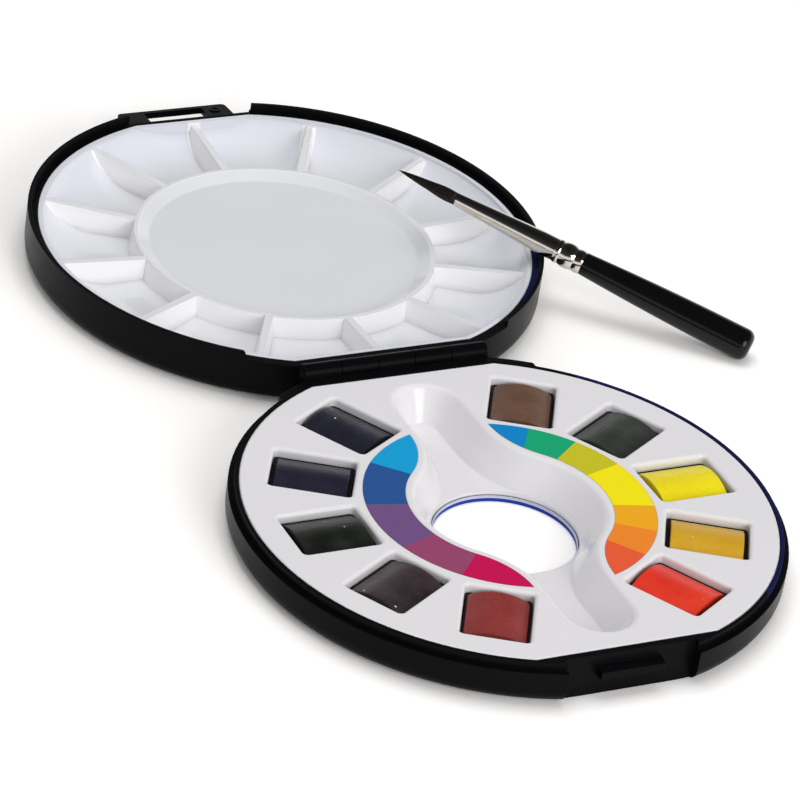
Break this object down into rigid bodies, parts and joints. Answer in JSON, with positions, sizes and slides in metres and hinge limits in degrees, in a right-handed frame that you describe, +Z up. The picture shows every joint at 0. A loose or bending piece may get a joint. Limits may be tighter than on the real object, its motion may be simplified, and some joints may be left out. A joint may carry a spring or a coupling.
{
  "type": "watercolor travel box",
  "caption": "Round hinged watercolor box lying open, with half pans round a thumb hole, a mixing palette in the lid, a clasp and a travel brush.",
  "frame": {"origin": "centre of the thumb hole in the base, on the face that rests on the table", "axes": "+X along the lid's hinge, +Y from the base to the lid, +Z up"},
  "size_m": [0.1667, 0.2663, 0.0248],
  "materials": {
    "black_shell": "satin moulded plastic",
    "white_insert": "glossy moulded plastic",
    "steel_pin": "plain",
    "pan_black": "satin",
    "strip_cool": "printed label in cyan, blue, violet, plum and crimson",
    "strip_warm": "printed label in blue, green, olive, yellow, orange and red",
    "brush_wood": "gloss black lacquer",
    "brush_metal": "polished nickel silver",
    "brush_bristle": "fine dark hair",
    "paint_yellow": "dry watercolor paint",
    "paint_olive": "dry watercolor paint",
    "paint_brown": "dry watercolor paint",
    "paint_indigo": "dry watercolor paint",
    "paint_ultramarine": "dry watercolor paint",
    "paint_dark_green": "dry watercolor paint",
    "paint_plum": "dry watercolor paint",
    "paint_brick_red": "dry watercolor paint",
    "paint_vermilion": "dry watercolor paint",
    "paint_ochre": "dry watercolor paint"
  },
  "bodies": {
    "base": {"base_shell": "black_shell", "hinge_pin": "steel_pin", "paint_tray": "white_insert", "color_strip_left": "strip_cool", "color_strip_right": "strip_warm"},
    "lid": {"lid_shell": "black_shell", "mixing_palette": "white_insert", "clasp_pin": "steel_pin"},
    "clasp": {"clasp": "black_shell"},
    "brush": {"brush_handle": "brush_wood", "brush_ferrule": "brush_metal", "brush_hair": "brush_bristle"},
    "pan_yellow": {"pan_yellow": "pan_black", "cake_yellow": "paint_yellow"},
    "pan_olive": {"pan_olive": "pan_black", "cake_olive": "paint_olive"},
    "pan_brown": {"pan_brown": "pan_black", "cake_brown": "paint_brown"},
    "pan_indigo": {"pan_indigo": "pan_black", "cake_indigo": "paint_indigo"},
    "pan_ultramarine": {"pan_ultramarine": "pan_black", "cake_ultramarine": "paint_ultramarine"},
    "pan_dark_green": {"pan_dark_green": "pan_black", "cake_dark_green": "paint_dark_green"},
    "pan_plum": {"pan_plum": "pan_black", "cake_plum": "paint_plum"},
    "pan_brick_red": {"pan_brick_red": "pan_black", "cake_brick_red": "paint_brick_red"},
    "pan_vermilion": {"pan_vermilion": "pan_black", "cake_vermilion": "paint_vermilion"},
    "pan_ochre": {"pan_ochre": "pan_black", "cake_ochre": "paint_ochre"}
  },
  "joints": [
    {"name": "lid_hinge", "type": "hinge", "parent": "base", "child": "lid", "pos_m": [0, 0.064, 0.01075], "axis": [-1, 0, 0], "range_deg": [-180, 0]},
    {"name": "clasp_hinge", "type": "hinge", "parent": "lid", "child": "clasp", "pos_m": [0, 0.1911, 0.0065], "axis": [-1, 0, 0], "range_deg": [-94.5, 0]},
    {"name": "brush_turn", "type": "hinge", "parent": "base", "child": "brush", "pos_m": [0.10846, 0.05908, 0.00262], "axis": [0.0933, 0.9956, -0.0048], "range_deg": [0, 164]},
    {"name": "pan_yellow_lift", "type": "slide", "parent": "base", "child": "pan_yellow", "axis": [0, 0, 1], "range_m": [0, 0.025]},
    {"name": "pan_olive_lift", "type": "slide", "parent": "base", "child": "pan_olive", "axis": [0, 0, 1], "range_m": [0, 0.025]},
    {"name": "pan_brown_lift", "type": "slide", "parent": "base", "child": "pan_brown", "axis": [0, 0, 1], "range_m": [0, 0.025]},
    {"name": "pan_indigo_lift", "type": "slide", "parent": "base", "child": "pan_indigo", "axis": [0, 0, 1], "range_m": [0, 0.025]},
    {"name": "pan_ultramarine_lift", "type": "slide", "parent": "base", "child": "pan_ultramarine", "axis": [0, 0, 1], "range_m": [0, 0.025]},
    {"name": "pan_dark_green_lift", "type": "slide", "parent": "base", "child": "pan_dark_green", "axis": [0, 0, 1], "range_m": [0, 0.025]},
    {"name": "pan_plum_lift", "type": "slide", "parent": "base", "child": "pan_plum", "axis": [0, 0, 1], "range_m": [0, 0.025]},
    {"name": "pan_brick_red_lift", "type": "slide", "parent": "base", "child": "pan_brick_red", "axis": [0, 0, 1], "range_m": [0, 0.025]},
    {"name": "pan_vermilion_lift", "type": "slide", "parent": "base", "child": "pan_vermilion", "axis": [0, 0, 1], "range_m": [0, 0.025]},
    {"name": "pan_ochre_lift", "type": "slide", "parent": "base", "child": "pan_ochre", "axis": [0, 0, 1], "range_m": [0, 0.025]}
  ],
  "couplings": [
    {"joint": "brush_turn", "follows": "lid_hinge", "ratio": -0.9106}
  ]
}
